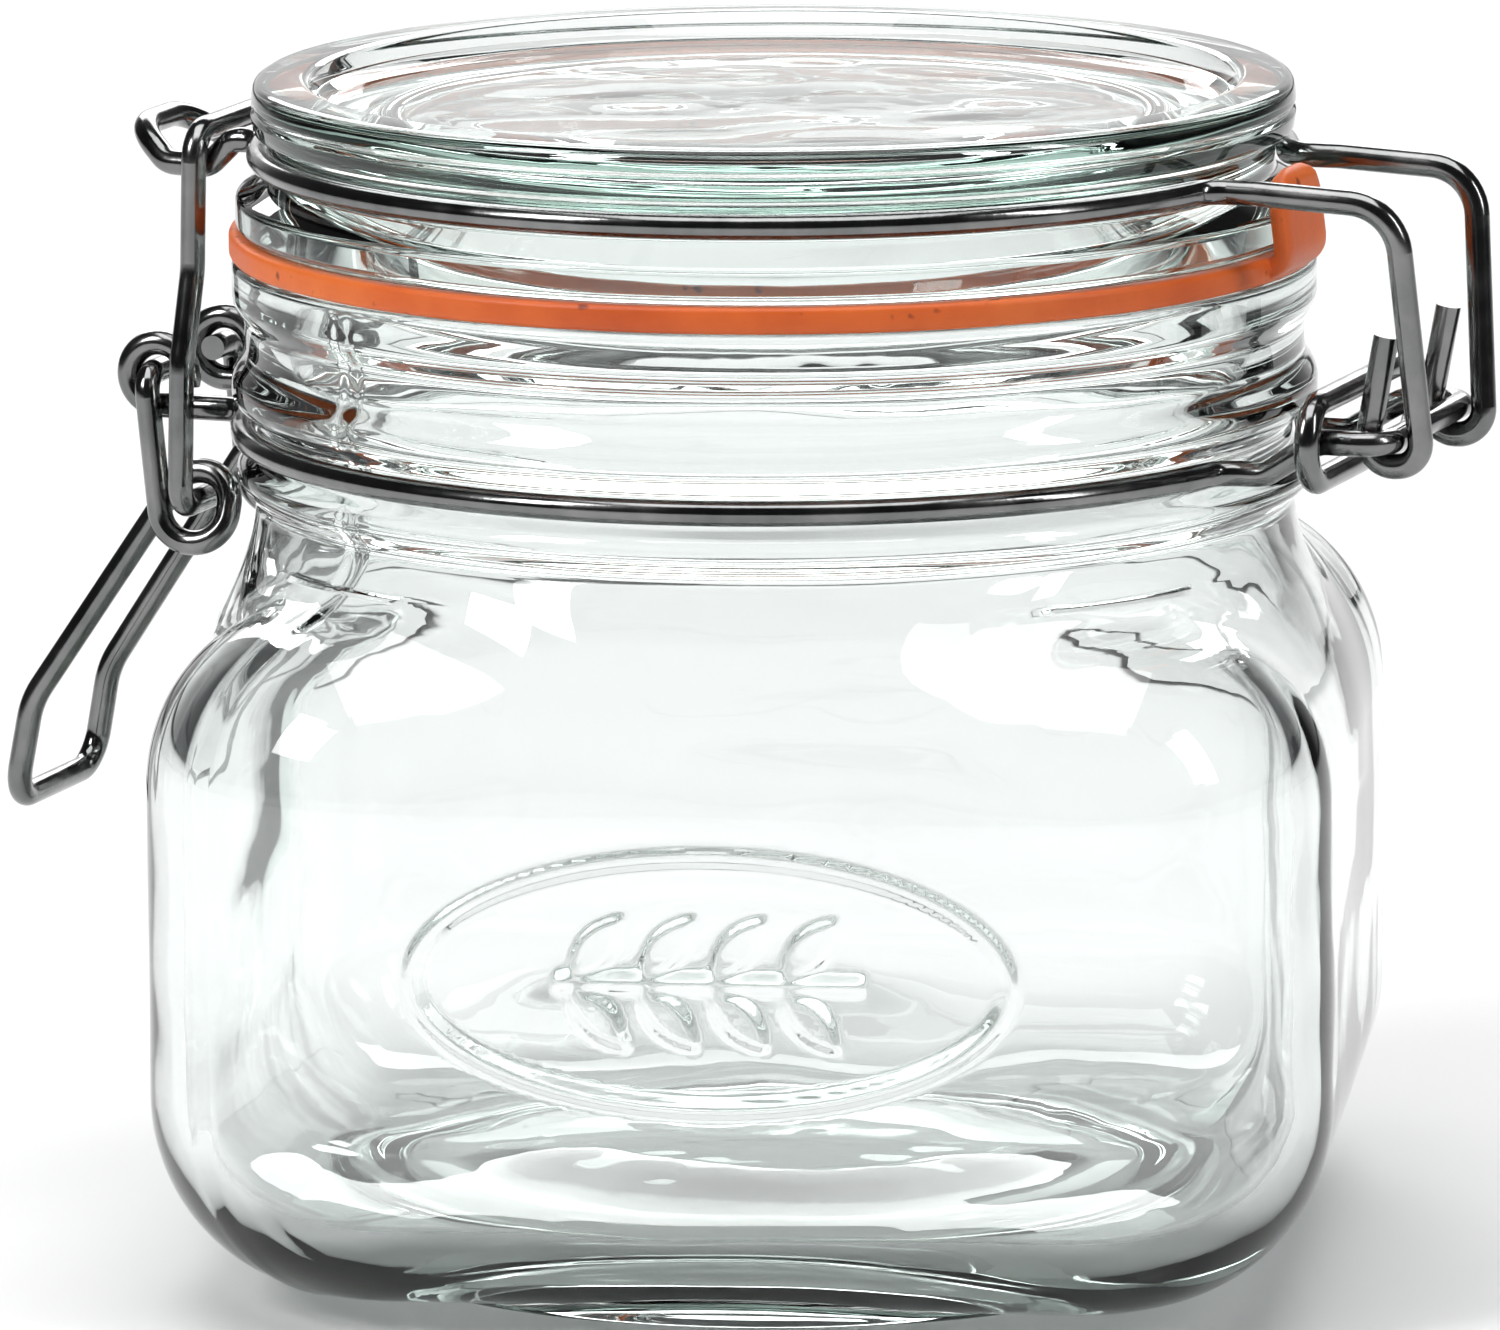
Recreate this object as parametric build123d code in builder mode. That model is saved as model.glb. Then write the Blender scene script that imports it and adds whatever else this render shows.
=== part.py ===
"""A square-shouldered glass preserving jar with a wire bail clamp, in millimetres, +Z up.

The origin is the centre of the foot. The hinge stands at +X and the clamp at -X, so every
pivot runs along Y. The square body is turned a little about Z from the wirework.
"""

import os
from math import cos, radians, sin, sqrt

from build123d import *

os.makedirs("parts", exist_ok=True)

# ---- Driving dimensions -------------------------------------------------------------

# Glass body
body_half_width = 51.0
body_corner_radius = 22.0
body_turn = 13.5
body_base = 1.0
body_top = 61.0
base_fillet = 17.0
shoulder_fillet = 16.0
wall = 3.4
floor_top = 6.5
cavity_fillet = 12.0

# Foot: the ring the jar stands on, around a pushed-up floor
foot_radius = 40.0
foot_height = 4.0
foot_fillet = 0.8
foot_ring_radius = 36.2
push_up = 2.6
push_up_slope = 3.0

# Neck
neck_radius = 45.2
bore_radius = 41.3
lower_bead_radius = 47.0
upper_bead_radius = 47.4
waist_radius = 46.1
rim_radius = 47.3
rim_top = 87.2
rim_height = 3.8
rim_fillet = 0.8
mouth_chamfer = 0.6

# Margin beyond a corner when corners are picked by position
pick_margin = 0.1

# Wire and fits
wire_radius = 1.1
seat_gap = 0.05
contact_gap = 0.05

# Neck ring: its circle, the two eyes at the clamp, and the hinge bar
neck_ring_z = 71.9
ring_bend = 3.0
neck_ring_radius = neck_radius + wire_radius + seat_gap
eye_y = 7.8
eye_x = -54.7
eye_radius = 2.8
eye_free_angle = -15.0
eye_low_angle = 270.0
hinge_x = 59.4
hinge_z = 75.0
hinge_bar_half_width = 12.2
hinge_bar_bend = 2.6
hinge_bar_rise_start = 1.8

# The glass neck's two beads, measured from the wire between them
groove_half = 1.4
bead_start = 2.6
lower_bead_end = 4.5
lower_bead_foot = 5.5
upper_bead_end = 5.1
waist_start = 6.8
rim_slope = 1.4

# Tie around the neck ring's two sides
tie_x = 53.7
tie_half_height = 3.35
tie_half_width = 15.6

# Rubber seal
seal_radius = 47.5
seal_hole_radius = 40.2
seal_thickness = 2.25
seal_bottom = rim_top + contact_gap
seal_top = seal_bottom + seal_thickness
tab_width = 11.0
tab_x = 48.9
tab_top = 96.8
tab_lean = -0.8
tab_root = 1.5
tab_thickness = 1.7
tab_fillet = 0.5

# Glass lid
lid_bottom = seal_top + contact_gap
lid_flange_radius = 46.8
lid_rim_radius = 45.4
lid_top = 102.6
lid_recess_radius = 38.8
lid_recess_z = 100.3
lid_boss_radius = 39.6
lid_boss_bottom = 86.3
lid_boss_draft = 0.3
lid_hollow_radius = 36.0
lid_hollow_draft = 2.0
lid_hollow_top = 96.0
lid_recess_slope = 1.4
lid_top_fillet = 1.5
lid_fillet = 0.7

# Lid ring: its circle, the nose at the clamp, and the hooked arms at the hinge
lid_ring_z = 96.0
lid_ring_radius = 44.7
lid_groove_half = 1.5
lid_flange_top = lid_ring_z - 3.4
lid_rim_bottom = lid_ring_z + 2.6
nose_y = 8.9
nose_bend = 2.5
nose_drop_start = 1.1
nose_drop_end = 3.8
nose_saddle_x = -53.8
nose_saddle_y = 7.5
nose_saddle_z = 93.5
nose_tip_x = -57.5
nose_tip_y = 5.0
nose_tip_z = 96.2
arm_y = 11.5
arm_x = 60.2
hook_radius = 2.35
hook_y = 8.8
stub_top = 83.9
stub_lean = 1.6
hook_inner_overrun = 0.5
hook_outer_overrun = 0.2
arm_straight = 2.5
arm_sag = 0.6
hook_bends = [2.25, 2.25, 4.5, 8.0]
nose_bends = [1.6, 2.0, 2.6, 5.0]

# Clamp: the lever turns in the eyes, and the link hangs in the lever's coils
pivot_x = -55.0
pivot_z = 74.95
lever_y = 10.3
lever_end_y = 5.4
coil_inner_y = 7.7
coil_x = -50.8
coil_z = 63.25
coil_half = 3.0
coil_entry = -2.7
coil_exit = -1.6
link_pin_z = 63.8
link_end_y = 6.2
link_low_y = 12.85
link_high_y = 10.8
link_low_z = 76.5
link_high_z = 84.5
link_lean = 0.3
link_bar_x = -49.9
link_bar_z = 96.75
link_bends = [2.0, 6.0, 6.0, 2.6]
handle_bend = (-66.8, 8.9, 45.0)
handle_end = (-68.5, 9.1, 36.0)
lever_bends = [1.9, 2.85, 2.85, 2.85, 2.85, 8.0, 3.2]

# Emblem on the front face: an oval frame around a plain sprig of leaves
emblem_z = 32.5
emblem_semi_axes = (26.0, 11.5)
emblem_line = 1.3
emblem_relief = 0.5
emblem_root = 1.0
leaf_pairs = 4
leaf_pitch = 6.0
leaf_first = -9.6
leaf_offset = 3.0
leaf_semi_axes = (3.4, 1.5)
leaf_angle = 48


# ---- Helpers ------------------------------------------------------------------------


def ring_exit(radius, offset, bend, side):
    """Points of the bend where a round wire leaves its circle and runs off along X at Y = offset.

    side is +1 at the hinge and -1 at the clamp. Returns the point on the circle, the
    middle of the bend and the point where the straight begins.
    """
    centre = Vector(side * sqrt((radius + bend) ** 2 - (offset + bend) ** 2), offset + bend)
    on_circle = centre * (radius / (radius + bend))
    on_line = Vector(centre.X, offset)
    toward_middle = ((on_circle - centre) + (on_line - centre)).normalized()
    return on_circle, centre + toward_middle * bend, on_line


def raised(point, z):
    """The same point at height z."""
    return Vector(point.X, point.Y, z)


def circle_point(radius, angle, z):
    """A point on a level circle about the jar's axis."""
    return Vector(radius * cos(radians(angle)), radius * sin(radians(angle)), z)


def eye_point(angle):
    """A point on the eye's centreline, which stands in the plane Y = eye_y."""
    return Vector(
        eye_x + eye_radius * cos(radians(angle)),
        eye_y,
        neck_ring_z + eye_radius + eye_radius * sin(radians(angle)),
    )


def plane_across(line):
    """The plane square to a path at its start."""
    return Plane(origin=line @ 0, z_dir=line % 0)


# ---- Glass jar ----------------------------------------------------------------------

with BuildPart() as jar_cavity:
    with BuildSketch(Plane.XY.offset(floor_top)):
        RectangleRounded(
            2 * (body_half_width - wall),
            2 * (body_half_width - wall),
            body_corner_radius - wall,
            rotation=body_turn,
        )
    extrude(amount=body_top - wall - floor_top)
    fillet(jar_cavity.edges().group_by(Axis.Z)[0], cavity_fillet)
    fillet(jar_cavity.edges().group_by(Axis.Z)[-1], cavity_fillet)
    with BuildSketch(Plane.XY.offset(body_top - 2 * cavity_fillet)):
        Circle(bore_radius - wall)
    extrude(amount=cavity_fillet)
    with BuildSketch(Plane.XY.offset(body_top - cavity_fillet)):
        Circle(bore_radius)
    extrude(amount=rim_top - body_top + cavity_fillet)

with BuildPart() as glass_jar:
    with BuildSketch(Plane.XY.offset(body_base)):
        RectangleRounded(
            2 * body_half_width, 2 * body_half_width, body_corner_radius, rotation=body_turn
        )
    extrude(amount=body_top - body_base)
    fillet(glass_jar.edges().group_by(Axis.Z)[0], base_fillet)
    fillet(glass_jar.edges().group_by(Axis.Z)[-1], shoulder_fillet)

    # neck, with its two beads, the wire's groove between them, and the rim
    with BuildSketch(Plane.XZ) as neck_sketch:
        with BuildLine():
            Polyline(
                (0, body_top - wall),
                (neck_radius, body_top - wall),
                (neck_radius, neck_ring_z - lower_bead_foot),
                (lower_bead_radius, neck_ring_z - lower_bead_end),
                (lower_bead_radius, neck_ring_z - bead_start),
                (neck_radius, neck_ring_z - groove_half),
                (neck_radius, neck_ring_z + groove_half),
                (upper_bead_radius, neck_ring_z + bead_start),
                (upper_bead_radius, neck_ring_z + upper_bead_end),
                (waist_radius, neck_ring_z + waist_start),
                (waist_radius, rim_top - rim_height - rim_slope),
                (rim_radius, rim_top - rim_height),
                (rim_radius, rim_top),
                (0, rim_top),
                close=True,
            )
        make_face()
        outer_corners = neck_sketch.vertices().filter_by_position(
            Axis.X, pick_margin, upper_bead_radius + pick_margin
        )
        fillet(outer_corners, rim_fillet)
    revolve(axis=Axis.Z)

    # emblem
    front = Vector(sin(radians(body_turn)), -cos(radians(body_turn)), 0)
    emblem_plane = Plane(
        origin=front * (body_half_width - emblem_root) + Vector(0, 0, emblem_z),
        x_dir=(cos(radians(body_turn)), sin(radians(body_turn)), 0),
        z_dir=front,
    )
    with BuildSketch(emblem_plane):
        Ellipse(*emblem_semi_axes)
        Ellipse(*(a - emblem_line for a in emblem_semi_axes), mode=Mode.SUBTRACT)
        Rectangle(emblem_semi_axes[0], emblem_line)
        for n in range(leaf_pairs):
            for up in (1, -1):
                with Locations((leaf_first + n * leaf_pitch, up * leaf_offset)):
                    Ellipse(*leaf_semi_axes, rotation=up * leaf_angle)
    extrude(amount=emblem_root + emblem_relief)

    # foot
    with BuildSketch(Plane.XY):
        Circle(foot_radius)
    extrude(amount=foot_height)
    fillet(glass_jar.edges().group_by(Axis.Z)[0], foot_fillet)
    with BuildSketch(Plane.XZ):
        with BuildLine():
            Polyline(
                (0, push_up),
                (0, 0),
                (foot_ring_radius, 0),
                (foot_ring_radius - push_up_slope, push_up),
                close=True,
            )
        make_face()
    revolve(axis=Axis.Z, mode=Mode.SUBTRACT)

    add(jar_cavity.part, mode=Mode.SUBTRACT)
    chamfer(
        glass_jar.edges().filter_by(GeomType.CIRCLE).group_by(Axis.Z)[-1].sort_by(SortBy.RADIUS)[0],
        mouth_chamfer,
    )

glass_jar.part.label = "glass_jar"
export_step(glass_jar.part, "parts/glass_jar.step")

# ---- Glass lid ----------------------------------------------------------------------

with BuildPart() as glass_lid:
    with BuildSketch(Plane.XZ) as lid_sketch:
        with BuildLine():
            Polyline(
                (0, lid_hollow_top),
                (lid_hollow_radius - lid_hollow_draft, lid_hollow_top),
                (lid_hollow_radius, lid_boss_bottom),
                (lid_boss_radius - lid_boss_draft, lid_boss_bottom),
                (lid_boss_radius, lid_bottom),
                (lid_flange_radius, lid_bottom),
                (lid_flange_radius, lid_flange_top),
                (lid_ring_radius - wire_radius - seat_gap, lid_ring_z - lid_groove_half),
                (lid_ring_radius - wire_radius - seat_gap, lid_ring_z + lid_groove_half),
                (lid_rim_radius, lid_rim_bottom),
                (lid_rim_radius, lid_top),
                (lid_recess_radius + lid_recess_slope, lid_top),
                (lid_recess_radius, lid_recess_z),
                (0, lid_recess_z),
                close=True,
            )
        make_face()
        fillet(lid_sketch.vertices().group_by(Axis.Y)[-1], lid_top_fillet)
        fillet(
            lid_sketch.vertices()
            .filter_by_position(Axis.X, pick_margin, lid_flange_radius + pick_margin)
            .filter_by_position(Axis.Y, lid_boss_bottom - pick_margin, lid_recess_z + pick_margin),
            lid_fillet,
        )
    revolve(axis=Axis.Z)
glass_lid.part.label = "glass_lid"
export_step(glass_lid.part, "parts/glass_lid.step")

# ---- Rubber seal --------------------------------------------------------------------

with BuildPart() as rubber_seal:
    with BuildSketch(Plane.XY.offset(seal_bottom)):
        Circle(seal_radius)
        Circle(seal_hole_radius, mode=Mode.SUBTRACT)
    extrude(amount=seal_thickness)
    # pull tab, bent up behind the lid
    with BuildSketch(Plane.XZ) as tab_sketch:
        with BuildLine():
            Polyline(
                (seal_radius - tab_root, seal_bottom),
                (tab_x, seal_bottom),
                (tab_x + tab_lean, tab_top),
                (tab_x + tab_lean - tab_thickness, tab_top),
                (tab_x - tab_thickness, seal_top),
                (seal_radius - tab_root, seal_top),
                close=True,
            )
        make_face()
        fillet(tab_sketch.vertices().group_by(Axis.Y)[-1], tab_fillet)
    extrude(amount=tab_width / 2, both=True)
rubber_seal.part.label = "rubber_seal"
export_step(rubber_seal.part, "parts/rubber_seal.step")

# ---- Neck ring ----------------------------------------------------------------------
# One wire: eye, neck, hinge bar, neck, eye. The half at +Y is made and mirrored.

eye_out, eye_mid, eye_in = ring_exit(neck_ring_radius, eye_y, ring_bend, -1)
bar_out, bar_mid, bar_in = ring_exit(neck_ring_radius, hinge_bar_half_width, ring_bend, 1)
with BuildPart() as neck_ring:
    with BuildLine() as neck_path:
        ThreePointArc(
            eye_point(eye_free_angle),
            eye_point((eye_free_angle + eye_low_angle) / 2),
            eye_point(eye_low_angle),
        )
        Line(eye_point(eye_low_angle), raised(eye_in, neck_ring_z))
        ThreePointArc(*(raised(p, neck_ring_z) for p in (eye_in, eye_mid, eye_out)))
        ThreePointArc(
            raised(eye_out, neck_ring_z),
            circle_point(neck_ring_radius, 90, neck_ring_z),
            raised(bar_out, neck_ring_z),
        )
        ThreePointArc(*(raised(p, neck_ring_z) for p in (bar_out, bar_mid, bar_in)))
        FilletPolyline(
            raised(bar_in, neck_ring_z),
            (bar_in.X + hinge_bar_rise_start, hinge_bar_half_width, neck_ring_z),
            (tie_x, hinge_bar_half_width, hinge_z),
            (hinge_x, hinge_bar_half_width, hinge_z),
            (hinge_x, 0, hinge_z),
            radius=hinge_bar_bend,
        )
    with BuildSketch(plane_across(neck_path.line)):
        Circle(wire_radius)
    sweep()
    mirror(about=Plane.XZ)
neck_ring.part.label = "neck_ring"
export_step(neck_ring.part, "parts/neck_ring.step")

# ---- Tie ----------------------------------------------------------------------------

with BuildPart() as neck_ring_tie:
    with BuildLine(Plane.YZ.offset(tie_x)) as tie_path:
        straight = tie_half_width - tie_half_height
        Line((-straight, hinge_z - tie_half_height), (straight, hinge_z - tie_half_height))
        ThreePointArc(
            (straight, hinge_z - tie_half_height),
            (tie_half_width, hinge_z),
            (straight, hinge_z + tie_half_height),
        )
        Line((straight, hinge_z + tie_half_height), (-straight, hinge_z + tie_half_height))
        ThreePointArc(
            (-straight, hinge_z + tie_half_height),
            (-tie_half_width, hinge_z),
            (-straight, hinge_z - tie_half_height),
        )
    with BuildSketch(plane_across(tie_path.line)):
        Circle(wire_radius)
    sweep()
neck_ring_tie.part.label = "neck_ring_tie"
export_step(neck_ring_tie.part, "parts/neck_ring_tie.step")

# ---- Lid ring -----------------------------------------------------------------------
# One wire: hook, arm, half the lid, nose, half the lid, arm, hook. Half is made and mirrored.

arm_out, arm_mid, arm_in = ring_exit(lid_ring_radius, arm_y, ring_bend, 1)
nose_out, nose_mid, nose_in = ring_exit(lid_ring_radius, nose_y, nose_bend, -1)
with BuildPart() as lid_ring:
    with BuildLine() as lid_path:
        FilletPolyline(
            (hinge_x - hook_radius + stub_lean, hook_y, stub_top),
            (hinge_x - hook_radius - hook_inner_overrun, hook_y, hinge_z - hook_radius),
            (hinge_x + hook_radius + hook_outer_overrun, hook_y, hinge_z - hook_radius),
            (arm_x, arm_y, lid_ring_z - arm_sag),
            (arm_in.X + arm_straight, arm_y, lid_ring_z),
            raised(arm_in, lid_ring_z),
            radius=hook_bends,
        )
        ThreePointArc(*(raised(p, lid_ring_z) for p in (arm_in, arm_mid, arm_out)))
        ThreePointArc(
            raised(arm_out, lid_ring_z),
            circle_point(lid_ring_radius, 90, lid_ring_z),
            raised(nose_out, lid_ring_z),
        )
        ThreePointArc(*(raised(p, lid_ring_z) for p in (nose_out, nose_mid, nose_in)))
        FilletPolyline(
            raised(nose_in, lid_ring_z),
            (nose_in.X - nose_drop_start, nose_y, lid_ring_z),
            (nose_in.X - nose_drop_end, (nose_y + nose_saddle_y) / 2, nose_saddle_z),
            (nose_saddle_x, nose_saddle_y, nose_saddle_z),
            (nose_tip_x, nose_tip_y, nose_tip_z),
            (nose_tip_x, 0, nose_tip_z),
            radius=nose_bends,
        )
    with BuildSketch(plane_across(lid_path.line)):
        Circle(wire_radius)
    sweep()
    mirror(about=Plane.XZ)
lid_ring.part.label = "lid_ring"
export_step(lid_ring.part, "parts/lid_ring.step")

# ---- Link ---------------------------------------------------------------------------

with BuildPart() as link_bail:
    with BuildLine() as link_path:
        FilletPolyline(
            (coil_x, link_end_y, link_pin_z),
            (coil_x, link_low_y, link_pin_z),
            (coil_x + link_lean, link_low_y, link_low_z),
            (link_bar_x - link_lean, link_high_y, link_high_z),
            (link_bar_x, link_high_y, link_bar_z),
            (link_bar_x, 0, link_bar_z),
            radius=link_bends,
        )
    with BuildSketch(plane_across(link_path.line)):
        Circle(wire_radius)
    sweep()
    mirror(about=Plane.XZ)
link_bail.part.label = "link_bail"
export_step(link_bail.part, "parts/link_bail.step")

# ---- Lever --------------------------------------------------------------------------

with BuildPart() as lever:
    with BuildLine() as lever_path:
        FilletPolyline(
            (pivot_x, lever_end_y, pivot_z),
            (pivot_x, lever_y, pivot_z),
            (coil_x + coil_entry, lever_y, coil_z - coil_half),
            (coil_x + coil_half, lever_y, coil_z - coil_half),
            (coil_x + coil_half, coil_inner_y, coil_z + coil_half),
            (coil_x + coil_exit, coil_inner_y, coil_z + coil_half),
            handle_bend,
            handle_end,
            (handle_end[0], 0, handle_end[2]),
            radius=lever_bends,
        )
    with BuildSketch(plane_across(lever_path.line)):
        Circle(wire_radius)
    sweep()
    mirror(about=Plane.XZ)
lever.part.label = "lever"
export_step(lever.part, "parts/lever.step")
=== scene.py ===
import math

import bpy
import numpy as np
from mathutils import Matrix, Vector


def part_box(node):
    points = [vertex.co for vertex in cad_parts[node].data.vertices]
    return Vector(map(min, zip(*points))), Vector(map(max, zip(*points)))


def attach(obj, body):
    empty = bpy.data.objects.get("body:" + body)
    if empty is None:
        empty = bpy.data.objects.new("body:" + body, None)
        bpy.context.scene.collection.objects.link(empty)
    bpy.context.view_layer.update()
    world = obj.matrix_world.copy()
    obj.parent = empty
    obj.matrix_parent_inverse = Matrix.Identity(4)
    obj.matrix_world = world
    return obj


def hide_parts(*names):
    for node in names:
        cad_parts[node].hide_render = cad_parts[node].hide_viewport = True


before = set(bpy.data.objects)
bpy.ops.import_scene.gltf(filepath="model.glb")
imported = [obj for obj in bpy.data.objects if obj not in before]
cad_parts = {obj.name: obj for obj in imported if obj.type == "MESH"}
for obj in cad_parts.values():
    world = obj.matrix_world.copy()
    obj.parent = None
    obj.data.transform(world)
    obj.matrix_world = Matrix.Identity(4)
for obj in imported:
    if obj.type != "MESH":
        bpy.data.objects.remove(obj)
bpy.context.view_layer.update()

# A square-shouldered glass preserving jar with a glass lid, an orange seal and a wire bail
# clamp. The glass and the rubber are dense meshes in place of their CAD solids; the wires are
# the CAD's own. Lengths in the shape code are millimetres, and the frame is in metres.

MM = 0.001
WIRE_RADIUS, SEAT_GAP = 1.1, 0.05
LID_WIRE_DROP = 6.6


def cad_size(node):
    """A CAD node's lowest and highest corners, in millimetres."""
    low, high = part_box(node)
    return np.array(low) / MM, np.array(high) / MM


jar_low, jar_high = cad_size("glass_jar")
lid_low, lid_high = cad_size("glass_lid")
seal_low, seal_high = cad_size("rubber_seal")
ring_z = cad_size("neck_ring")[0][2] + WIRE_RADIUS
lid_wire_z = lid_high[2] - LID_WIRE_DROP

# ---- Shape helpers --------------------------------------------------------------------


def smooth_union(a, b, reach):
    """The union of two distance fields, blended where they differ by less than reach."""
    mix = np.clip(0.5 + 0.5 * (b - a) / reach, 0, 1)
    return b * (1 - mix) + a * mix - reach * mix * (1 - mix)


def smooth_step(x):
    """0 below 0, 1 above 1, and smooth between."""
    x = np.clip(x, 0, 1)
    return x * x * (3 - 2 * x)


def rounded_square(x, y, half, corner):
    """Distance from a square with rounded corners, in its own axes."""
    qx, qy = np.abs(x) - (half - corner), np.abs(y) - (half - corner)
    outside = np.hypot(np.maximum(qx, 0), np.maximum(qy, 0))
    return outside + np.minimum(np.maximum(qx, qy), 0) - corner


def rounded_prism(x, y, z, half, corner, low, high, low_fillet, high_fillet):
    """Distance from an upright rounded square prism with filleted rims."""
    middle = (low + high) / 2
    fillet = np.where(z > middle, high_fillet, low_fillet)
    wx = rounded_square(x, y, half, corner) + fillet
    wz = np.abs(z - middle) - (high - low) / 2 + fillet
    outside = np.hypot(np.maximum(wx, 0), np.maximum(wz, 0))
    return outside + np.minimum(np.maximum(wx, wz), 0) - fillet


def soft_profile(points, softness, step=0.05):
    """A function of height that follows the (radius, height) points with rounded corners."""
    radii, heights = np.array(points, float).T
    z = np.arange(heights[0] - 4, heights[-1] + 4, step)
    r = np.interp(z, heights, radii)
    half = int(3 * softness / step)
    kernel = np.exp(-0.5 * (np.arange(-half, half + 1) * step / softness) ** 2)
    padded = np.pad(r, half, mode="edge")
    r = np.convolve(padded, kernel / kernel.sum(), mode="valid")
    return lambda height: np.interp(height, z, r)


def waves(phi, z, seed, amplitude, turns=(2, 9), heights=(14.0, 60.0), count=10):
    """Slow seeded ripples, such as those of moulded glass."""
    draw = np.random.RandomState(seed)
    total = np.zeros(np.broadcast(phi, z).shape)
    for _ in range(count):
        k = draw.randint(turns[0], turns[1] + 1)
        length = draw.uniform(*heights)
        shift = draw.uniform(0, 2 * math.pi, 2)
        total += np.sin(k * phi + shift[0]) * np.sin(2 * math.pi * z / length + shift[1])
    return amplitude * total / math.sqrt(count)


def grid_mesh(name, rows, closed_ends=(), loop=False):
    """A mesh from rings of points, each (columns, 3), in millimetres.

    closed_ends holds 0 and / or -1 for a ring that ends in a centre point.
    """
    rows = np.asarray(rows)
    count, columns = rows.shape[:2]
    verts = rows.reshape(-1, 3)
    faces = []
    column = np.arange(columns)
    following = (column + 1) % columns
    last = count if loop else count - 1
    for i in range(last):
        a, b = i * columns, ((i + 1) % count) * columns
        faces.append(np.stack([a + column, a + following, b + following, b + column], 1))
    faces = [tuple(f) for f in np.concatenate(faces).tolist()]
    extra = []
    for end in closed_ends:
        ring = rows[end]
        centre = len(verts) + len(extra)
        extra.append(ring.mean(0))
        base = 0 if end == 0 else (count - 1) * columns
        for c, n in zip(column.tolist(), following.tolist()):
            pair = (base + n, base + c) if end == 0 else (base + c, base + n)
            faces.append((*pair, centre))
    if extra:
        verts = np.concatenate([verts, np.array(extra)])
    mesh = bpy.data.meshes.new(name)
    mesh.from_pydata((verts * MM).tolist(), [], faces)
    mesh.validate()
    obj = bpy.data.objects.new(name, mesh)
    bpy.context.scene.collection.objects.link(obj)
    return finished(obj)


def finished(obj):
    """Smooth-shaded, with its normals pointing out."""
    bpy.context.view_layer.objects.active = obj
    for other in bpy.context.selected_objects:
        other.select_set(False)
    obj.select_set(True)
    bpy.ops.object.mode_set(mode="EDIT")
    bpy.ops.mesh.select_all(action="SELECT")
    bpy.ops.mesh.normals_make_consistent(inside=False)
    bpy.ops.object.mode_set(mode="OBJECT")
    obj.data.shade_smooth()
    return obj


def even_steps(low, high, step):
    """Evenly spaced values from low to high, about step apart."""
    return np.linspace(low, high, max(2, int(round(abs(high - low) / step)) + 1))


# ---- Glass jar ------------------------------------------------------------------------

BODY_TURN = math.radians(13.5)
BODY_HALF, BODY_CORNER = 51.0, 22.0
BODY_BASE, BODY_TOP = jar_low[2] + 1.0, jar_low[2] + 61.0
BASE_FILLET, SHOULDER_FILLET = 17.0, 16.0
WALL, CAVITY_FILLET = 3.4, 12.0
NECK_BLEND, BORE_BLEND = 8.0, 12.0
FLOOR = jar_low[2] + 6.5
FOOT_RADIUS, FOOT_FILLET = 40.0, 0.8
RIM_TOP = jar_high[2]
BORE_RADIUS = 41.3
FRONT_ANGLE = -math.pi / 2 + BODY_TURN
EMBLEM_Z, EMBLEM_WIDTH, EMBLEM_HEIGHT = jar_low[2] + 32.5, 26.0, 11.5
EMBLEM_LINE, EMBLEM_RELIEF, EMBLEM_EDGE = 1.3, 0.5, 0.7
STEM_HALF = 13.0
LEAF_PAIRS, LEAF_FIRST, LEAF_PITCH, LEAF_OFFSET = 4, -9.6, 6.0, 3.0
LEAF_SIZE, LEAF_ANGLE = (3.6, 1.5), math.radians(48)
SEAM_HEIGHT, SEAM_WIDTH, SEAM_RADIUS = 0.16, 0.45, 50
BODY_RIPPLE, CAVITY_RIPPLE, CAVITY_CALM = 0.05, 0.07, 28
FOOT_BLEND, FOOT_LAP, NECK_LAP, BORE_LAP = 1.2, 12, 14, 20
FLOOR_RISE, FLOOR_RISE_RADIUS, FLOOR_RISE_RUN = 1.4, 30, 12

neck_profile = soft_profile(
    [
        (45.2, 40.0),
        (45.2, ring_z - 5.6),
        (46.9, ring_z - 4.4),
        (46.9, ring_z - 2.7),
        (45.1, ring_z - 1.2),
        (45.1, ring_z + 1.2),
        (47.3, ring_z + 2.8),
        (47.3, ring_z + 5.0),
        (46.1, ring_z + 6.9),
        (46.1, RIM_TOP - 5.3),
        (47.2, RIM_TOP - 3.9),
        (47.2, RIM_TOP + 4.0),
    ],
    0.45,
)


def body_axes(x, y):
    """The point in the square body's own axes."""
    c, s = math.cos(BODY_TURN), math.sin(BODY_TURN)
    return x * c + y * s, -x * s + y * c


def leaf(u, v, centre, size, angle):
    """Roughly the distance from a pointed leaf."""
    c, s = math.cos(angle), math.sin(angle)
    a, b = (u - centre[0]) * c + (v - centre[1]) * s, -(u - centre[0]) * s + (v - centre[1]) * c
    width = size[1] * np.clip(1 - (a / size[0]) ** 2, 0, None)
    return np.maximum(np.abs(b) - width, np.abs(a) - size[0])


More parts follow.
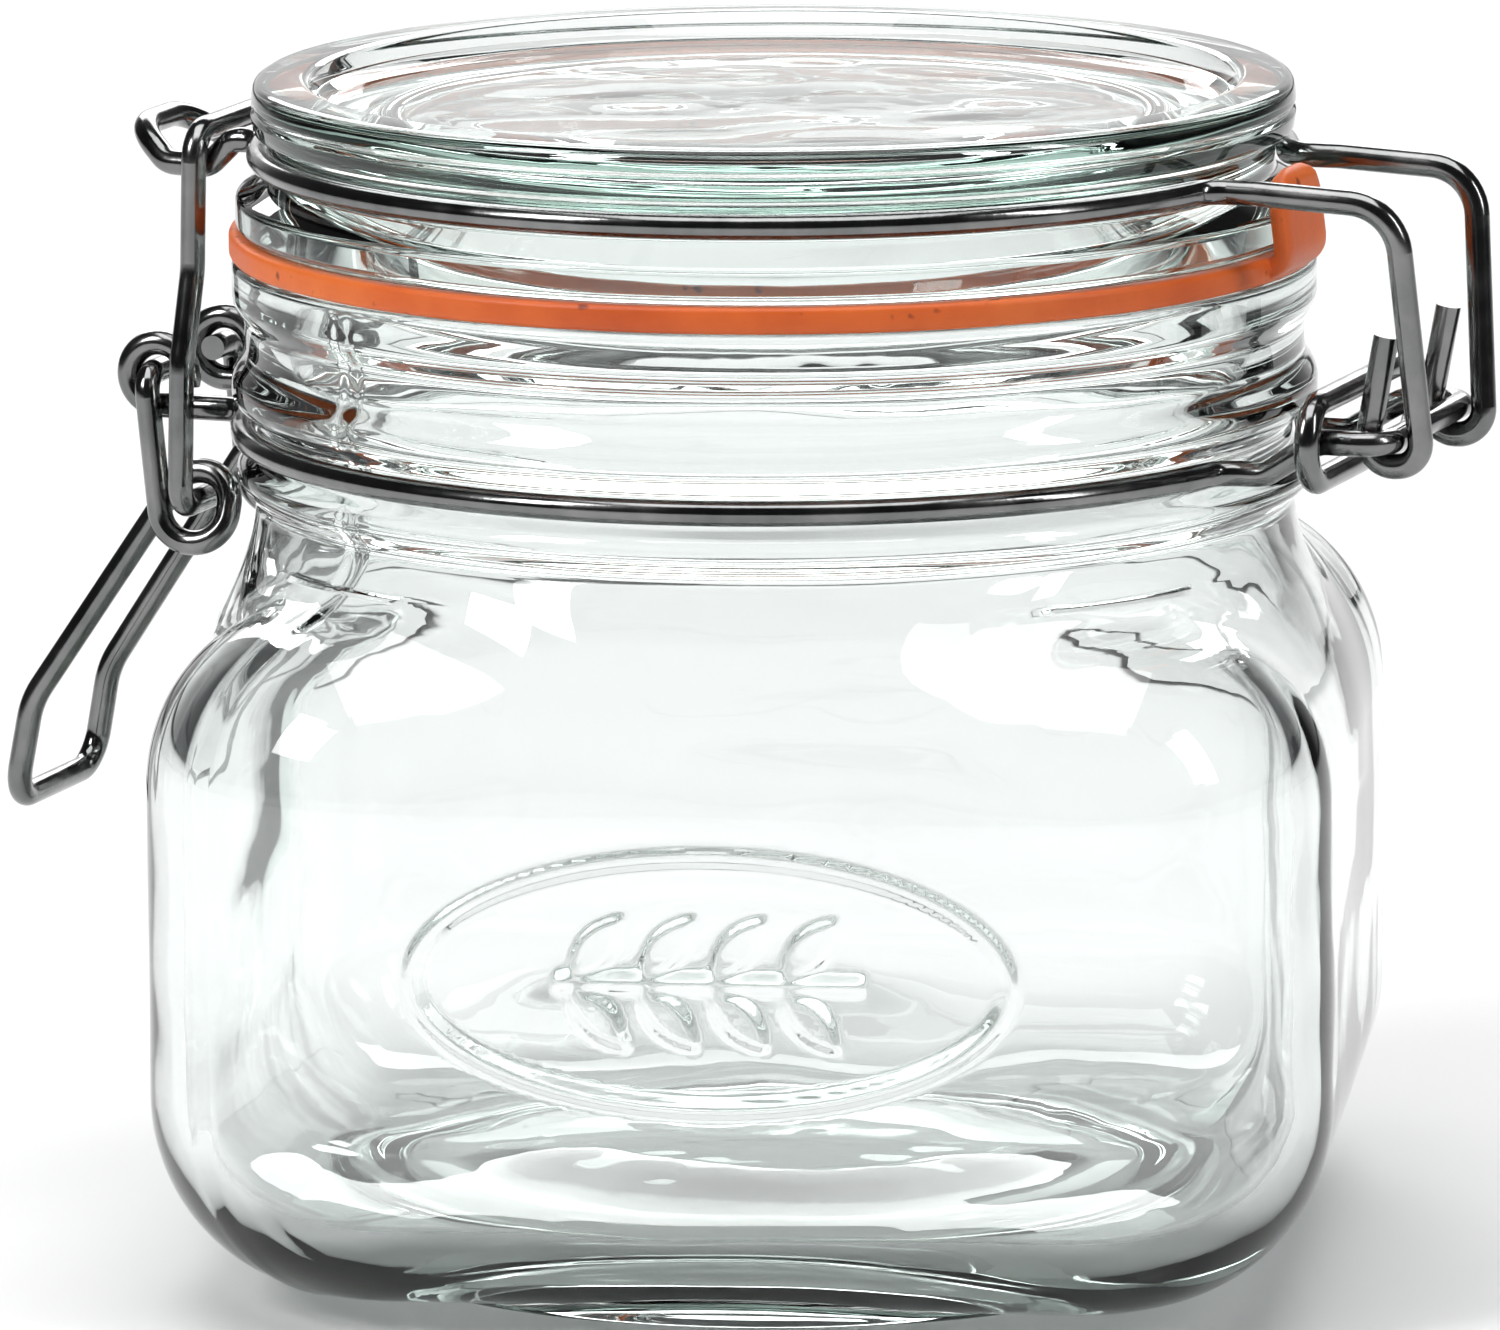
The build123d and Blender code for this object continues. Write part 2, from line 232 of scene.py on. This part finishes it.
def emblem(x, y, z):
    """How far the emblem stands out of the front face."""
    u, w = body_axes(x, y)
    v = z - EMBLEM_Z
    reach = np.hypot(u / EMBLEM_WIDTH, v / EMBLEM_HEIGHT)
    slope = np.hypot(u / EMBLEM_WIDTH**2, v / EMBLEM_HEIGHT**2)
    oval = reach * (reach - 1) / np.maximum(slope, 0.01)
    shape = np.abs(oval + EMBLEM_LINE / 2) - EMBLEM_LINE / 2
    shape = np.minimum(shape, np.maximum(np.abs(v) - EMBLEM_LINE / 2, np.abs(u) - STEM_HALF))
    for n in range(LEAF_PAIRS):
        for up in (1, -1):
            centre = (LEAF_FIRST + LEAF_PITCH * n, up * LEAF_OFFSET)
            shape = np.minimum(shape, leaf(u, v, centre, LEAF_SIZE, up * LEAF_ANGLE))
    raised = smooth_step(0.5 - shape / EMBLEM_EDGE)
    return np.where(w < 0, EMBLEM_RELIEF * raised, 0.0)


def mould_seam(phi):
    """The fine ridge where the mould's halves met, at two opposite corners."""
    seam = FRONT_ANGLE - math.pi / 4
    off = np.abs((phi - seam + math.pi / 2) % math.pi - math.pi / 2)
    return SEAM_HEIGHT * np.exp(-((off * SEAM_RADIUS / SEAM_WIDTH) ** 2))


def jar_outside(x, y, z):
    """Distance field of the jar's outside."""
    phi = np.arctan2(y, x)
    r = np.hypot(x, y)
    u, w = body_axes(x, y)
    body = rounded_prism(
        u, w, z, BODY_HALF, BODY_CORNER, BODY_BASE, BODY_TOP, BASE_FILLET, SHOULDER_FILLET
    )
    body = body - waves(phi, z, 3, BODY_RIPPLE)
    neck = np.maximum(r - neck_profile(z), (BODY_TOP - NECK_LAP) - z)
    foot_side = r - FOOT_RADIUS + FOOT_FILLET
    foot_low = jar_low[2] + FOOT_FILLET - z
    foot = np.hypot(np.maximum(foot_side, 0), np.maximum(foot_low, 0)) - FOOT_FILLET
    foot = np.maximum(foot, z - FOOT_LAP)
    whole = smooth_union(smooth_union(body, neck, NECK_BLEND), foot, FOOT_BLEND)
    return whole - emblem(x, y, z) - mould_seam(phi)


def jar_inside(x, y, z):
    """Distance field of the jar's cavity."""
    phi = np.arctan2(y, x)
    r = np.hypot(x, y)
    u, w = body_axes(x, y)
    floor_rise = FLOOR_RISE * smooth_step((FLOOR_RISE_RADIUS - r) / FLOOR_RISE_RUN)
    cavity = rounded_prism(
        u, w, z - floor_rise * smooth_step((20 - z) / 8), BODY_HALF - WALL, BODY_CORNER - WALL,
        FLOOR, BODY_TOP - WALL, CAVITY_FILLET, CAVITY_FILLET,
    )
    bore = np.maximum(r - BORE_RADIUS, (BODY_TOP - BORE_LAP) - z)
    # the ripples fade out towards the rim and the axis
    ripple = waves(phi, z, 11, CAVITY_RIPPLE, turns=(3, 12), heights=(12.0, 40.0))
    ripple = ripple * smooth_step((RIM_TOP - 2 - z) / 6) * smooth_step(r / CAVITY_CALM)
    return smooth_union(cavity, bore, BORE_BLEND) - ripple


def surface_rings(field, phi, stations, reach=75.0):
    """Rings of points where rays from the jar's axis meet the field's surface.

    Each station is (height on the axis, rise of the ray in radians).
    """
    heights, rises = np.array(stations, float).T
    dx = np.cos(rises)[:, None] * np.cos(phi)[None]
    dy = np.cos(rises)[:, None] * np.sin(phi)[None]
    dz = np.broadcast_to(np.sin(rises)[:, None], dx.shape)
    near, far = np.full(dx.shape, 1.0), np.full(dx.shape, reach)
    for _ in range(30):
        middle = (near + far) / 2
        inside = field(dx * middle, dy * middle, heights[:, None] + dz * middle) < 0
        near, far = np.where(inside, middle, near), np.where(inside, far, middle)
    return np.stack([dx * near, dy * near, heights[:, None] + dz * near], -1)


def level_rings(profile, phi):
    """Rings of constant radius from (radius, height) points."""
    radii, heights = np.array(profile, float).T
    x = radii[:, None] * np.cos(phi)[None]
    y = radii[:, None] * np.sin(phi)[None]
    return np.stack([x, y, np.broadcast_to(heights[:, None], x.shape)], -1)


def jar_columns(fine, coarse):
    """Angles round the jar, closest together across the emblem."""
    phi = np.linspace(-math.pi, math.pi, 20001) + FRONT_ANGLE
    u = BODY_HALF * np.tan(np.clip(phi - FRONT_ANGLE, -1.2, 1.2))
    away = smooth_step((np.abs(u) - EMBLEM_WIDTH - 1) / 6)
    spacing = fine + (coarse - fine) * away
    ring = surface_rings(jar_outside, phi, [(jar_low[2] + 24, 0.0)])[0]
    step = np.linalg.norm(np.diff(ring, axis=0), axis=1) / ((spacing[1:] + spacing[:-1]) / 2)
    total = np.concatenate([[0], np.cumsum(step)])
    count = int(round(total[-1]))
    return np.interp(np.arange(count) * total[-1] / count, total, phi)


jar_phi = jar_columns(0.42, 1.3)
floor_z = jar_low[2]
base_eye, shoulder_eye, neck_start = 20.0, 45.0, BODY_TOP + 1.6
foot_angle = -math.atan2(base_eye - 0.9, FOOT_RADIUS)
shoulder_angle = math.atan2(BODY_TOP + 1.0 - shoulder_eye, 45.6)
emblem_low, emblem_high = EMBLEM_Z - EMBLEM_HEIGHT - 1, EMBLEM_Z + EMBLEM_HEIGHT + 1
outside_stations = (
    [(floor_z + base_eye, a) for a in even_steps(foot_angle, 0, 0.019)]
    + [(z, 0.0) for z in even_steps(emblem_low, emblem_high, 0.42)[1:]]
    + [(floor_z + shoulder_eye, a) for a in even_steps(0.0, shoulder_angle, 0.0125)[1:]]
    + [(z, 0.0) for z in even_steps(neck_start, RIM_TOP - 1.0, 0.42)]
)
inside_stations = (
    [(z, 0.0) for z in even_steps(RIM_TOP - 1.0, BODY_TOP + 1.0, 1.3)]
    + [(floor_z + shoulder_eye, a) for a in even_steps(math.atan2(15.5, 41.5), 0.0, 0.022)]
    + [(z, 0.0) for z in even_steps(floor_z + 44, floor_z + 19, 1.5)]
    + [(floor_z + 18.0, -a) for a in even_steps(0.01, math.radians(84), 0.035)]
)
push_up = [
    (4.0, 2.9), (12.0, 2.85), (20.0, 2.75), (28.0, 2.65), (32.0, 2.55), (33.6, 2.3),
    (35.0, 1.0), (35.8, 0.3), (36.6, 0.0), (38.0, 0.0), (39.2, 0.02), (39.65, 0.2),
    (39.9, 0.5),
]
rim_bend = [
    (47.2 - 0.8 + 0.8 * math.cos(a), RIM_TOP - 0.8 + 0.8 * math.sin(a))
    for a in np.linspace(0, math.pi / 2, 5)
]
rim = rim_bend + [(44.0, RIM_TOP), (42.2, RIM_TOP), (41.75, RIM_TOP - 0.15), (41.4, RIM_TOP - 0.6)]
outside_rings = surface_rings(jar_outside, jar_phi, outside_stations)
inside_rings = surface_rings(jar_inside, jar_phi, inside_stations)
jar_rows = np.concatenate(
    [
        level_rings([(r, floor_z + z) for r, z in push_up], jar_phi),
        outside_rings,
        level_rings(rim, jar_phi),
        inside_rings,
    ]
)
jar_piece = grid_mesh("jar_glass_body", jar_rows, closed_ends=(0, -1))
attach(jar_piece, "jar")
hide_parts("glass_jar")

# ---- Glass lid ------------------------------------------------------------------------


def rounded_outline(points, radii, steps=5):
    """A closed outline of (radius, height) points whose corners are arcs."""
    points = np.array(points, float)
    out = []
    count = len(points)
    for i, radius in enumerate(radii):
        p, before, after = points[i], points[i - 1], points[(i + 1) % count]
        a, b = before - p, after - p
        la, lb = np.linalg.norm(a), np.linalg.norm(b)
        if radius <= 0:
            out.append(p)
            continue
        a, b = a / la, b / lb
        turn = math.acos(float(np.clip(a @ b, -1, 1)))
        cut = min(radius / math.tan(turn / 2), 0.48 * la, 0.48 * lb)
        for t in np.linspace(0, 1, steps):
            q = (1 - t) ** 2 * (p + a * cut) + 2 * t * (1 - t) * p + t * t * (p + b * cut)
            out.append(q)
    return np.array(out)


def spread(outline, step):
    """More points along the outline's long runs."""
    out = []
    for a, b in zip(outline[:-1], outline[1:]):
        count = max(1, int(np.linalg.norm(b - a) / step))
        out.extend(a + (b - a) * t for t in np.arange(count) / count)
    out.append(outline[-1])
    return np.array(out)


LID_RING_RADIUS, BOSS_DEPTH = 44.7, 3.25
LID_RIPPLE, LID_CALM, LID_SWELL = 0.05, 24, 0.0008
LID_TOP, LID_BOTTOM = lid_high[2], lid_low[2] + BOSS_DEPTH
SEAT = LID_RING_RADIUS - WIRE_RADIUS - SEAT_GAP
lid_outline = rounded_outline(
    [
        (1.5, LID_TOP - 6.6),
        (34.0, LID_TOP - 6.6),
        (36.0, lid_low[2]),
        (39.3, lid_low[2]),
        (39.6, LID_BOTTOM),
        (46.8, LID_BOTTOM),
        (46.8, lid_wire_z - 3.4),
        (SEAT, lid_wire_z - 1.5),
        (SEAT, lid_wire_z + 1.5),
        (45.2, lid_wire_z + 2.2),
        (45.4, LID_TOP - 3.0),
        (45.0, LID_TOP - 2.5),
        (45.4, LID_TOP - 2.0),
        (45.2, LID_TOP),
        (40.6, LID_TOP),
        (39.6, LID_TOP - 1.6),
        (38.6, LID_TOP - 2.3),
        (1.5, LID_TOP - 2.3),
    ],
    [0, 2.5, 0.8, 0.6, 0.8, 0.9, 0.9, 0.7, 0.7, 0.5, 0.3, 0.3, 0.3, 1.3, 1.0, 0.8, 0.9, 0],
)
lid_outline = spread(lid_outline, 2.2)
lid_phi = np.linspace(-math.pi, math.pi, 288, endpoint=False)
lid_rows = level_rings(lid_outline, lid_phi)
lid_r = np.hypot(lid_rows[..., 0], lid_rows[..., 1])
ripple = waves(lid_phi[None] + 0 * lid_r, lid_r, 23, LID_RIPPLE, turns=(1, 7), heights=(12.0, 40.0))
lid_rows[..., 2] += ripple * smooth_step((37 - lid_r) / 6) * smooth_step(lid_r / LID_CALM)
swell = 1 + LID_SWELL * waves(lid_phi[None] + 0 * lid_r, lid_rows[..., 2], 29, 1.0, turns=(2, 7))
lid_rows[..., :2] *= swell[..., None]
lid_piece = grid_mesh("lid_glass_disc", lid_rows, closed_ends=(0, -1))
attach(lid_piece, "lid")
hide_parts("glass_lid")

# ---- Rubber seal ----------------------------------------------------------------------

SEAL_OUT, SEAL_IN = 47.5, 40.2
SEAL_LOW, SEAL_THICK = seal_low[2], 2.25
SEAL_WOBBLE, SEAL_SHRINK = 0.045, 0.0016
TAB_X, TAB_HALF, TAB_THICK, TAB_LEAN = seal_high[0], 5.5, 1.7, -0.8
TAB_BEND, TAB_CORNER = 1.5, 3.4

seal_outline = rounded_outline(
    [
        (SEAL_IN, SEAL_LOW),
        (SEAL_OUT, SEAL_LOW),
        (SEAL_OUT, SEAL_LOW + SEAL_THICK),
        (SEAL_IN, SEAL_LOW + SEAL_THICK),
    ],
    [0.5, 0.55, 0.55, 0.5],
    6,
)
seal_phi = np.linspace(-math.pi, math.pi, 256, endpoint=False)
seal_rows = level_rings(spread(seal_outline, 1.5), seal_phi)
seal_r = np.hypot(seal_rows[..., 0], seal_rows[..., 1])
wobble = waves(seal_phi[None] + 0 * seal_r, 0 * seal_r + 3.0, 41, SEAL_WOBBLE, turns=(3, 17))
outer_share = smooth_step((seal_r - 44) / 3)
seal_rows[..., :2] *= (1 - SEAL_SHRINK * outer_share * (1 + wobble / SEAL_WOBBLE / 2))[..., None]
seal_piece = grid_mesh("seal_ring", seal_rows, loop=True)


def tab_strip(name, half_width, thickness, path):
    """A strip with rounded edges that follows (x, z) points, with a rounded far end."""
    path = np.array(path, float)
    tangent = np.gradient(path, axis=0)
    tangent /= np.linalg.norm(tangent, axis=1)[:, None]
    normal = np.stack([tangent[:, 1], -tangent[:, 0]], 1)
    length = np.concatenate([[0], np.cumsum(np.linalg.norm(np.diff(path, axis=0), axis=1))])
    rows = []
    angles = np.linspace(0, 2 * math.pi, 32, endpoint=False)
    for p, n, s in zip(path, normal, length):
        left = length[-1] - s
        round_off = math.sqrt(max(0.0, 1 - max(0.0, 1 - left / TAB_CORNER) ** 2))
        half = half_width - TAB_CORNER * (1 - round_off)
        thick = thickness / 2 * (0.35 + 0.65 * min(1.0, left / 0.9))
        c, q = np.cos(angles), np.sin(angles)
        across = np.sign(c) * np.abs(c) ** 0.25 * half
        deep = np.sign(q) * np.abs(q) ** 0.5 * thick
        rows.append(np.stack([p[0] + n[0] * deep, across, p[1] + n[1] * deep], 1))
    return grid_mesh(name, rows, closed_ends=(0, -1))


tab_mid_x = TAB_X - TAB_THICK / 2
bend_z = SEAL_LOW + SEAL_THICK / 2
tab_path = [(44.6, bend_z), (45.4, bend_z), (46.2, bend_z)]
tab_path += [
    (tab_mid_x - TAB_BEND + TAB_BEND * math.sin(a), bend_z + TAB_BEND - TAB_BEND * math.cos(a))
    for a in np.linspace(0.1, math.pi / 2, 8)
]
tab_start = bend_z + TAB_BEND + 0.4
tab_path += [
    (tab_mid_x + TAB_LEAN * (z - tab_start) / (seal_high[2] - tab_start), z)
    for z in np.linspace(tab_start, seal_high[2] - 0.1, 14)
]
tab_piece = tab_strip("seal_tab_stock", TAB_HALF, TAB_THICK, tab_path)
union = seal_piece.modifiers.new("tab", "BOOLEAN")
union.operation, union.solver, union.object = "UNION", "EXACT", tab_piece
bpy.context.view_layer.objects.active = seal_piece
bpy.ops.object.modifier_apply(modifier="tab")
bpy.data.objects.remove(tab_piece)
seal_piece.data.shade_smooth()
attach(seal_piece, "lid")
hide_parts("rubber_seal")

# ---- Materials ------------------------------------------------------------------------


def new_material(name):
    """A node material with a Principled shader. Returns the material, its nodes and links."""
    material = bpy.data.materials.new(name)
    material.use_nodes = True
    tree = material.node_tree
    return material, tree.nodes, tree.links, tree.nodes["Principled BSDF"]


def noise(nodes, links, scale, detail=3.0, rough=0.5, stretch=None, distortion=0.0):
    """A noise texture in object space, in cycles per metre; stretch scales its axes."""
    place = nodes.new("ShaderNodeTexCoord")
    texture = nodes.new("ShaderNodeTexNoise")
    texture.inputs["Scale"].default_value = scale
    texture.inputs["Detail"].default_value = detail
    texture.inputs["Roughness"].default_value = rough
    texture.inputs["Distortion"].default_value = distortion
    if stretch:
        mapping = nodes.new("ShaderNodeMapping")
        mapping.inputs["Scale"].default_value = stretch
        links.new(place.outputs["Object"], mapping.inputs["Vector"])
        links.new(mapping.outputs["Vector"], texture.inputs["Vector"])
    else:
        links.new(place.outputs["Object"], texture.inputs["Vector"])
    return texture.outputs["Fac"]


def ramp(nodes, links, value, stops):
    """A colour ramp over value; stops are (position, colour)."""
    node = nodes.new("ShaderNodeValToRGB")
    while len(node.color_ramp.elements) < len(stops):
        node.color_ramp.elements.new(0.5)
    for element, (position, colour) in zip(node.color_ramp.elements, stops):
        element.position = position
        element.color = (*colour, 1)
    links.new(value, node.inputs["Fac"])
    return node.outputs["Color"]


def spread_value(nodes, links, value, low, high, from_low=0.3, from_high=0.7):
    """value from its middle range to low..high."""
    node = nodes.new("ShaderNodeMapRange")
    node.inputs["From Min"].default_value = from_low
    node.inputs["From Max"].default_value = from_high
    node.inputs["To Min"].default_value = low
    node.inputs["To Max"].default_value = high
    links.new(value, node.inputs["Value"])
    return node.outputs["Result"]


def bump(nodes, links, layers):
    """Stacked bumps; layers are (height, distance in metres, strength)."""
    last = None
    for height, distance, strength in layers:
        node = nodes.new("ShaderNodeBump")
        node.inputs["Distance"].default_value = distance
        node.inputs["Strength"].default_value = strength
        links.new(height, node.inputs["Height"])
        if last is not None:
            links.new(last, node.inputs["Normal"])
        last = node.outputs["Normal"]
    return last


def glass_material(name, ripple_scale, ripple_depth):
    """Clear soda-lime glass: rippled, faintly smudged, and green where it is thick."""
    material, nodes, links, shader = new_material(name)
    shader.inputs["Base Color"].default_value = (0.985, 0.995, 0.99, 1)
    shader.inputs["Transmission Weight"].default_value = 1.0
    shader.inputs["IOR"].default_value = 1.5
    smudge = noise(nodes, links, 90, 5, 0.6)
    links.new(spread_value(nodes, links, smudge, 0.0, 0.035, 0.5, 0.75), shader.inputs["Roughness"])
    slow = noise(nodes, links, ripple_scale, 2, 0.4, (1.0, 1.0, 0.55), 0.6)
    fine = noise(nodes, links, ripple_scale * 5, 2, 0.5)
    links.new(
        bump(nodes, links, [(slow, ripple_depth, 1.0), (fine, ripple_depth * 0.06, 1.0)]),
        shader.inputs["Normal"],
    )
    absorb = nodes.new("ShaderNodeVolumeAbsorption")
    absorb.inputs["Color"].default_value = (0.575, 0.755, 0.69, 1)
    absorb.inputs["Density"].default_value = 21.0
    links.new(absorb.outputs["Volume"], nodes["Material Output"].inputs["Volume"])
    return material


def rubber_material():
    """Orange natural rubber, matt, with a fine grain and a few dark specks."""
    material, nodes, links, shader = new_material("seal_orange_rubber")
    cloud = noise(nodes, links, 60, 4, 0.55)
    tone = ramp(
        nodes, links, cloud,
        [(0.25, (0.58, 0.085, 0.012)), (0.5, (0.74, 0.135, 0.02)), (0.75, (0.86, 0.21, 0.04))],
    )
    speck = noise(nodes, links, 420, 2, 0.5)
    dark = ramp(nodes, links, speck, [(0.27, (0.35, 0.25, 0.2)), (0.34, (1, 1, 1))])
    mix = nodes.new("ShaderNodeMix")
    mix.data_type, mix.blend_type = "RGBA", "MULTIPLY"
    mix.inputs["Factor"].default_value = 1.0
    links.new(tone, mix.inputs["A"])
    links.new(dark, mix.inputs["B"])
    links.new(mix.outputs["Result"], shader.inputs["Base Color"])
    shader.inputs["Specular IOR Level"].default_value = 0.45
    grain = noise(nodes, links, 1800, 3, 0.6)
    links.new(spread_value(nodes, links, cloud, 0.38, 0.55), shader.inputs["Roughness"])
    links.new(bump(nodes, links, [(grain, 0.00006, 0.7), (cloud, 0.0004, 0.3)]), shader.inputs["Normal"])
    return material


def steel_with_painted_shade_material():
    """Drawn steel wire, polished, with fine scratches and slightly dull patches. Its colour is painted
    shade: far darker than real steel, standing in for a dark room in its reflections.
    """
    material, nodes, links, shader = new_material("clamp_steel_wire_painted_dark")
    patches = noise(nodes, links, 150, 4, 0.6)
    # painted shade: these base tones sit far below real steel so that its reflections come out dark; the
    # patches vary the tone at random
    tone = ramp(
        nodes, links, patches,
        [(0.3, (0.15, 0.154, 0.155)), (0.5, (0.21, 0.213, 0.212)), (0.72, (0.28, 0.28, 0.275))],
    )
    links.new(tone, shader.inputs["Base Color"])
    shader.inputs["Metallic"].default_value = 1.0
    links.new(spread_value(nodes, links, patches, 0.10, 0.24), shader.inputs["Roughness"])
    scratch = noise(nodes, links, 700, 3, 0.65, (1.0, 1.0, 0.25), 0.4)
    dent = noise(nodes, links, 110, 2, 0.5)
    links.new(
        bump(nodes, links, [(scratch, 0.00003, 0.5), (dent, 0.00025, 0.5)]), shader.inputs["Normal"]
    )
    return material


def dress(obj, material):
    obj.data.materials.clear()
    obj.data.materials.append(material)


dress(jar_piece, glass_material("jar_clear_glass", 26, 0.00035))
dress(lid_piece, glass_material("lid_clear_glass", 34, 0.00012))
dress(seal_piece, rubber_material())
steel = steel_with_painted_shade_material()
for wire in ("neck_ring", "neck_ring_tie", "lid_ring", "link_bail", "lever"):
    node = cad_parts[wire]
    node.data.shade_smooth()
    dress(node, steel)

# ---- Floor, light and camera ----------------------------------------------------------

FLOOR_SIZE, FLOOR_GAP = 9.0, 0.0002
bpy.ops.mesh.primitive_plane_add(size=FLOOR_SIZE, location=(0, 0, 0))
floor = bpy.context.object
floor.name = "studio_floor"
floor.location.z = jar_low[2] * MM - FLOOR_GAP
floor_material, nodes, links, shader = new_material("studio_pale_floor")
paper = noise(nodes, links, 3.0, 2, 0.5)
links.new(
    ramp(nodes, links, paper, [(0.3, (0.86, 0.86, 0.865)), (0.7, (0.9, 0.9, 0.9))]),
    shader.inputs["Base Color"],
)
shader.inputs["Roughness"].default_value = 0.9
dress(floor, floor_material)

VIEW_AZIMUTH, VIEW_RISE, VIEW_ROLL = math.radians(20), math.radians(10.2), math.radians(-0.3)
VIEW_DISTANCE, LENS = 1.3, 357.2
VIEW_HEIGHT, AIM_LEFT, AIM_DOWN = 55, 2.27, 4.45


def softbox(name, azimuth, rise, distance, size, power, tint=(1, 1, 1)):
    """A rectangular light that faces the middle of the jar."""
    a, e = math.radians(azimuth), math.radians(rise)
    light = bpy.data.lights.new(name, "AREA")
    light.shape, light.size, light.size_y = "RECTANGLE", *size
    light.energy, light.color = power, tint
    lamp = bpy.data.objects.new(name, light)
    back = Vector((math.sin(a) * math.cos(e), -math.cos(a) * math.cos(e), math.sin(e)))
    lamp.location = Vector((0, 0, 0.05)) + back * distance
    lamp.rotation_mode = "QUATERNION"
    lamp.rotation_quaternion = back.to_track_quat("Z", "Y")
    bpy.context.scene.collection.objects.link(lamp)
    return lamp


softbox("key_front_left", -38, 38, 1.2, (0.3, 0.5), 7)
softbox("fill_front_right", 84, 30, 1.3, (0.16, 0.7), 4)
softbox("top_panel", 20, 84, 1.1, (0.9, 0.9), 9)
softbox("back_glow", 200, 30, 1.5, (1.2, 0.7), 12)

world = bpy.data.worlds.new("studio_world")
world.use_nodes = True
bpy.context.scene.world = world
nodes, links = world.node_tree.nodes, world.node_tree.links
direction = nodes.new("ShaderNodeTexCoord")
toward = nodes.new("ShaderNodeVectorMath")
toward.operation = "DOT_PRODUCT"
toward.inputs[1].default_value = (math.sin(VIEW_AZIMUTH), -math.cos(VIEW_AZIMUTH), 0)
links.new(direction.outputs["Generated"], toward.inputs[0])
share = spread_value(nodes, links, toward.outputs["Value"], 0.0, 1.0, -1.0, 1.0)
room = ramp(
    nodes, links, share,
    [(0.02, (1, 1, 1)), (0.05, (0.42, 0.42, 0.42)), (0.1, (0.06, 0.06, 0.063)), (0.4, (0.03, 0.03, 0.032))],
)
links.new(room, nodes["Background"].inputs["Color"])
nodes["Background"].inputs["Strength"].default_value = 1.0

bpy.context.scene.view_settings.view_transform = "Standard"

camera_data = bpy.data.cameras.new("photo_camera")
camera = bpy.data.objects.new("photo_camera", camera_data)
bpy.context.scene.collection.objects.link(camera)
bpy.context.scene.camera = camera
camera_data.sensor_width, camera_data.lens = 36.0, LENS
camera_data.clip_start, camera_data.clip_end = 0.05, 50.0
back = Vector(
    (
        math.sin(VIEW_AZIMUTH) * math.cos(VIEW_RISE),
        -math.cos(VIEW_AZIMUTH) * math.cos(VIEW_RISE),
        math.sin(VIEW_RISE),
    )
)
right = Vector((math.cos(VIEW_AZIMUTH), math.sin(VIEW_AZIMUTH), 0))
up = back.cross(right)
right, up = (
    right * math.cos(VIEW_ROLL) + up * math.sin(VIEW_ROLL),
    up * math.cos(VIEW_ROLL) - right * math.sin(VIEW_ROLL),
)
middle = Vector((0, 0, VIEW_HEIGHT * MM))
camera.location = middle + back * VIEW_DISTANCE
aim = middle - right * (AIM_LEFT * MM) - up * (AIM_DOWN * MM)
look = (camera.location - aim).normalized()
side_axis = up.cross(look).normalized()
turn = Matrix((side_axis, look.cross(side_axis), look)).transposed()
camera.rotation_mode = "QUATERNION"
camera.rotation_quaternion = turn.to_quaternion()
